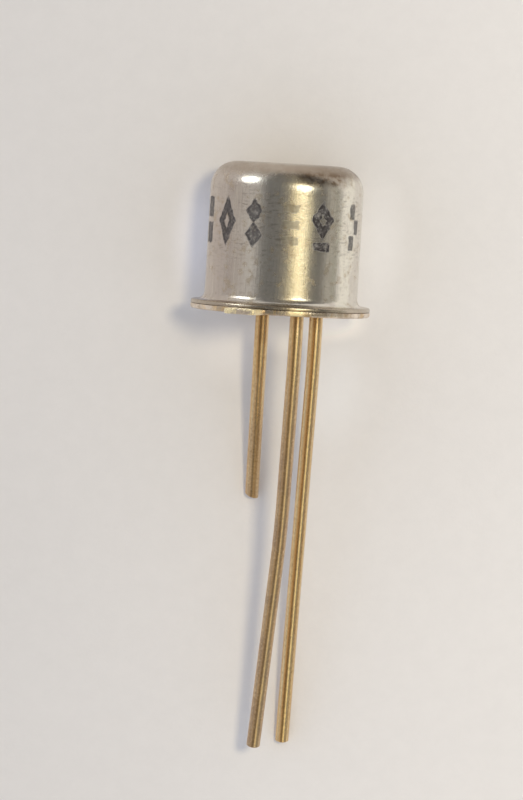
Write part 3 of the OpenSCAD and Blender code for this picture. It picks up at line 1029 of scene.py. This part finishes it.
def makeCamera():
    looks = cameraLooks
    data = bpy.data.cameras.new("camera")
    data.lens, data.sensor_width = looks["lens"], 36.0
    data.clip_start, data.clip_end = 0.005, 10.0
    across, up = looks["aim"]
    aim = lying @ (rightward * across + Vector((0, 0, up)))
    camera = linked("camera", data)
    turned = Matrix((viewRight, viewUp, toEye)).transposed().to_4x4()
    camera.matrix_world = Matrix.Translation(aim + toEye * looks["distance"] * mm) @ turned
    bpy.context.scene.camera = camera


# reach and fade in metres, the fibres' depth in millimetres
# the left and right colours paint the paper lighter towards the right: painted light
paperLooks = {
    "reach": 0.6, "left": (0.73, 0.70, 0.665, 1), "right": (0.945, 0.898, 0.83, 1), "fade": 0.018,
    "clouds": 45.0, "fibres": 1500.0, "fibreDepth": 0.03,
}
# painted light: soft glows in the paper's emission that stand in for the light the shiny metal throws on
# the paper, and lift the shade beside the can: (middle, reach, colour), in mm
paintedBounceLight = [
    ((1.60, 4.15), (1.50, 0.80), (0.28, 0.25, 0.20)), ((0.20, 3.75), (1.60, 0.95), (0.17, 0.155, 0.13)),
    ((2.80, 6.60), (1.50, 3.20), (0.11, 0.115, 0.125)), ((1.50, 2.10), (2.20, 2.80), (0.07, 0.08, 0.09)),
    ((-2.75, 6.60), (1.10, 2.80), (0.12, 0.13, 0.17)),
    ((-1.40, 3.20), (1.80, 1.60), (0.08, 0.075, 0.075)),
]


# painted light: sums the glows above into the paper's emission colour
def paintedBounceGlow(tree, point):
    glow = (0, 0, 0, 1)
    for middle, reach, tint in paintedBounceLight:
        away = first(
            tree, "ShaderNodeMapping",
            {"Vector": point, "Location": Vector((*middle, 0)) * mm, "Scale": Vector((*reach, 1)) * mm},
            vector_type="TEXTURE",
        )
        glow = mixColour(tree, smooth(tree, lengthOf(tree, away), 1.0, 0.1), glow, (*tint, 1), "ADD")
    return glow


def hideFromBelow(tree, shader):  # the paper isn't in the way of a view from below
    behind = place(tree, "ShaderNodeNewGeometry").outputs["Backfacing"]
    seen = place(tree, "ShaderNodeLightPath").outputs["Is Camera Ray"]
    clear = first(tree, "ShaderNodeBsdfTransparent")
    principled = shader["Base Color"].node.outputs[0]
    lifted = first(tree, "ShaderNodeMixShader", {0: times(tree, behind, seen), 1: principled, 2: clear})
    tree.links.new(lifted, tree.nodes["Material Output"].inputs["Surface"])


def makePaper():
    looks = paperLooks
    finish, tree, shader = newFinish("warmPaper")
    point = place(tree, "ShaderNodeTexCoord").outputs["Object"]
    clouds = smooth(tree, noise(tree, point, looks["clouds"], 4.0, 0.6), 0.3, 0.7, 0.985, 1.01)
    fibres = noise(tree, point, looks["fibres"], 6.0, 0.75)
    # painted light: the paper is painted lighter towards the right, over the fade
    across = smooth(tree, split(tree, point)[0], -looks["fade"], looks["fade"])
    shade = plus(tree, clouds, smooth(tree, fibres, 0.3, 0.7, -0.012, 0.012))
    colour = mixColour(tree, across, looks["left"], looks["right"])
    colour = mixColour(tree, 1.0, colour, joined(tree, shade, shade, shade), "MULTIPLY")
    # the emission is painted light, glowing where the metal would throw light on the paper
    feed(tree, shader, baseColor=colour, roughness=0.9, emissionColor=paintedBounceGlow(tree, point),
         normal=bumped(tree, (fibres, looks["fibreDepth"], 0.4)))
    shader["Emission Strength"].default_value = 1.0
    hideFromBelow(tree, shader)
    bm = bmesh.new()
    r = looks["reach"]
    bm.faces.new([bm.verts.new(p) for p in ((-r, -r, 0), (r, -r, 0), (r, r, 0), (-r, r, 0))])
    paper = meshObject("paper", bm)
    paper.data.materials.append(finish)


# a way is (right, up, towards the camera) as seen from the part, and the key's sizes are in metres
lightLooks = {
    "keyWay": (0.205, 0.10, 1.0), "keyDistance": 0.30, "keySize": 0.040, "keyPower": 0.275,
    "keyColour": (1.0, 0.88, 0.62), "dome": (0.60, 0.63, 0.715, 1), "backdrop": (0.86, 0.84, 0.81, 1),
    "window": {"way": (-0.72, 0.59, 0.36), "colour": (0.94, 1.0, 1.0, 1), "light": 8.0,
               "edge": (0.974, 0.997)},
    "lamp": {"way": (0.44, 0.20, 0.87), "colour": (1.0, 0.95, 0.76, 1), "light": 4.2,
             "edge": (0.960, 0.994)},
    "shelfRise": (0.38, 0.62), "shelfStart": (-0.12, 0.15), "shelfEnd": (2.0, 1.6), "shelfCover": 0.85,
    "shelf": (0.075, 0.07, 0.065, 1), "bandLight": 2.0,
}
# what the metal sees of the room, as an angle from the camera towards the right, in degrees
roomBands = [
    (-180, (0.36, 0.33, 0.29)), (-120, (0.364, 0.306, 0.279)), (-84, (0.54, 0.51, 0.48)),
    (-44, (0.53, 0.505, 0.48)), (-33, (0.17, 0.165, 0.155)), (-8, (0.17, 0.165, 0.155)),
    (9, (0.34, 0.30, 0.22)), (16, (1.16, 0.98, 0.57)), (29, (1.16, 0.98, 0.57)),
    (41, (0.19, 0.18, 0.155)), (62, (0.18, 0.17, 0.15)), (69, (0.46, 0.43, 0.375)),
    (77, (0.46, 0.43, 0.375)), (82, (0.35, 0.34, 0.28)), (91, (0.37, 0.36, 0.30)),
    (98, (0.76, 0.76, 0.64)), (126, (0.72, 0.71, 0.59)), (136, (0.60, 0.56, 0.47)),
    (160, (0.48, 0.44, 0.37)), (180, (0.36, 0.33, 0.28)),
]


def wayTo(right, up, near):
    return (viewRight * right + viewUp * up + toEye * near).normalized()


def makeKey():
    looks = lightLooks
    data = bpy.data.lights.new("key", "AREA")
    data.shape, data.size = "DISK", looks["keySize"]
    data.energy, data.color = looks["keyPower"], looks["keyColour"]
    key = linked("key", data)
    way = wayTo(*looks["keyWay"])
    key.location = way * looks["keyDistance"]
    key.rotation_euler = way.to_track_quat("Z", "Y").to_euler()
    key.visible_glossy = False  # the metal mirrors the room instead


def roomColour(tree, way):  # bands round the part, a dark shelf high up, and the window and lamp over them
    looks = lightLooks
    right, up, near = (dot(tree, way, axis) for axis in (viewRight, viewUp, toEye))
    angle = maths(tree, "ARCTAN2", right, near)
    share = plus(tree, maths(tree, "DIVIDE", angle, tau), 0.5)
    glow = looks["bandLight"]
    colour = ramp(tree, share, [(at / 360 + 0.5, tuple(c / glow for c in band)) for at, band in roomBands])
    shelf = times(tree, smooth(tree, up, *looks["shelfRise"]), smooth(tree, angle, *looks["shelfStart"]),
                  smooth(tree, angle, *looks["shelfEnd"], 0, looks["shelfCover"]))
    colour = tinted(tree, colour, looks["shelf"], shelf)
    for name in ("window", "lamp"):
        pane = smooth(tree, dot(tree, way, wayTo(*looks[name]["way"])), *looks[name]["edge"])
        colour = tinted(tree, colour, looks[name]["colour"], pane)
        glow = mixValue(tree, pane, glow, looks[name]["light"])
    return colour, glow


def makeRoom():
    world = bpy.data.worlds.new("room")
    bpy.context.scene.world = world
    world.use_nodes = True
    tree = world.node_tree
    tree.nodes.clear()
    colour, glow = roomColour(tree, place(tree, "ShaderNodeTexCoord").outputs["Generated"])
    rays = place(tree, "ShaderNodeLightPath").outputs
    shown = first(tree, "ShaderNodeBackground", {"Color": lightLooks["dome"], "Strength": 1.0})
    room = first(tree, "ShaderNodeBackground", {"Color": colour, "Strength": glow})
    backdrop = first(tree, "ShaderNodeBackground", {"Color": lightLooks["backdrop"], "Strength": 1.0})
    for ray, seen in (("Is Glossy Ray", room), ("Is Camera Ray", backdrop)):
        shown = first(tree, "ShaderNodeMixShader", {0: rays[ray], 1: shown, 2: seen})
    place(tree, "ShaderNodeOutputWorld", {"Surface": shown})


makeCamera()
makePaper()
makeKey()
makeRoom()
bpy.context.scene.view_settings.view_transform = "Standard"
print("paper, light and camera made")
